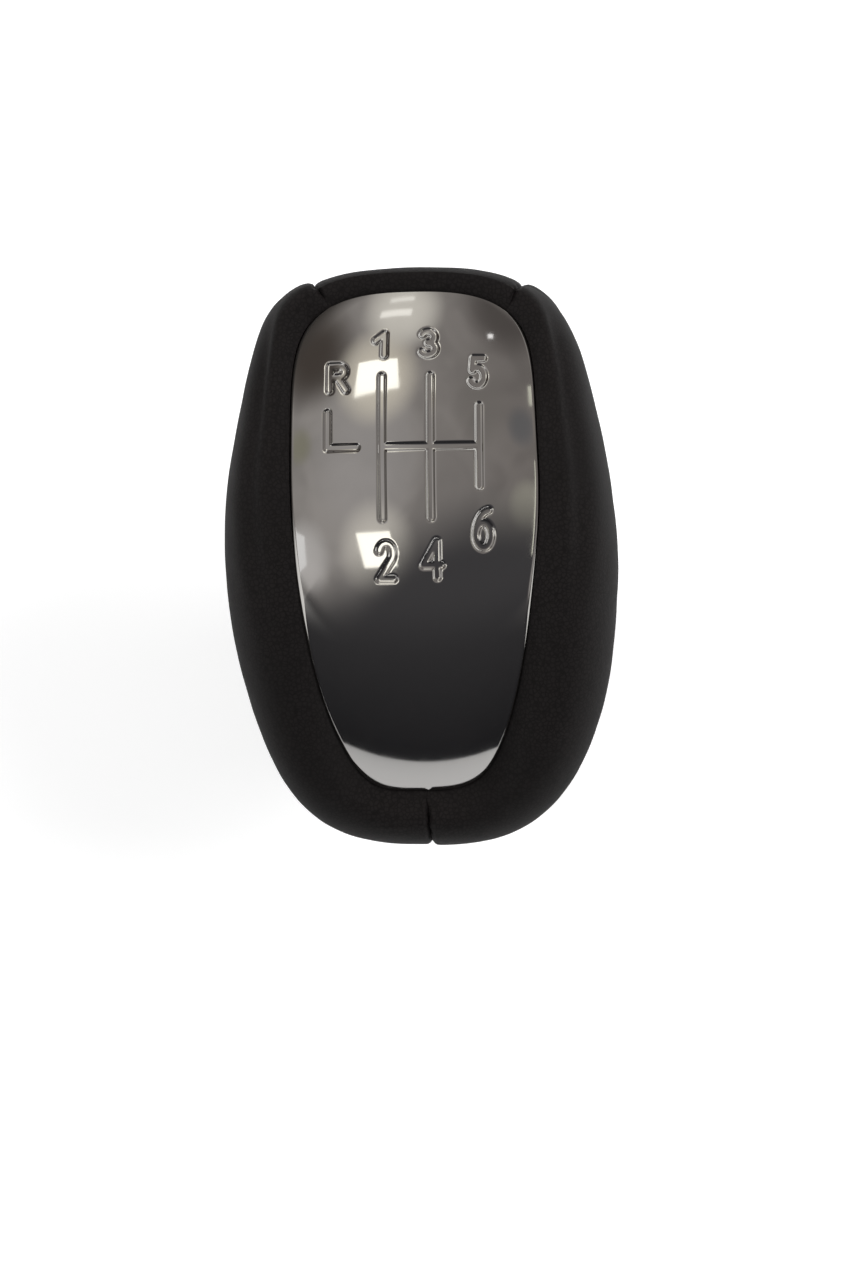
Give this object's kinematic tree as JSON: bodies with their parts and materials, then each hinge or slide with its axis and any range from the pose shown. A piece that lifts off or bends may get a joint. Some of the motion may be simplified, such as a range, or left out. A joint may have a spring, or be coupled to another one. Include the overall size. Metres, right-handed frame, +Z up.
{
  "type": "gear shift knob",
  "caption": "Car gear shift knob: a stitched leather head round a domed chrome plate with the engraved gear pattern, and a sprung collar that lifts to free reverse.",
  "frame": {"origin": "centre of the lever bore's mouth, on the base plane of the knob", "axes": "+Z up along the gear lever, +Y to the front of the car (the narrow gap of the leather, above the odd gears), +X to the driver's right as seen from behind the knob"},
  "size_m": [0.054, 0.0763, 0.0881],
  "materials": {
    "polished_chrome": "mirror",
    "black_leather": "matt",
    "black_plastic": "matt",
    "grey_nylon": "matt",
    "natural_acetal": "satin",
    "zinc_steel": "satin",
    "spring_steel": "satin",
    "black_rubber": "matt"
  },
  "bodies": {
    "knob": {"chrome_plate": "polished_chrome", "plate_push_nuts": "zinc_steel", "plate_carrier": "black_plastic", "carrier_screws": "zinc_steel", "leather_front": "black_leather", "leather_left": "black_leather", "leather_right": "black_leather", "core_left": "grey_nylon", "core_right": "grey_nylon", "core_screws": "zinc_steel", "lever_sleeve": "zinc_steel", "lever_bush": "natural_acetal", "cross_pin": "zinc_steel", "neck_ring": "black_plastic", "spring_seat": "zinc_steel", "return_spring": "spring_steel", "buffer_ring": "black_rubber", "collar_circlip": "zinc_steel"},
    "collar": {"lift_collar": "black_plastic", "collar_bush": "natural_acetal"}
  },
  "joints": [
    {"name": "collar_lift", "type": "slide", "parent": "knob", "child": "collar", "axis": [0, 0, 1], "range_m": [0, 0.012], "stiffness_N_per_m": 800, "springref_m": -0.01, "deforming": ["return_spring"]}
  ]
}
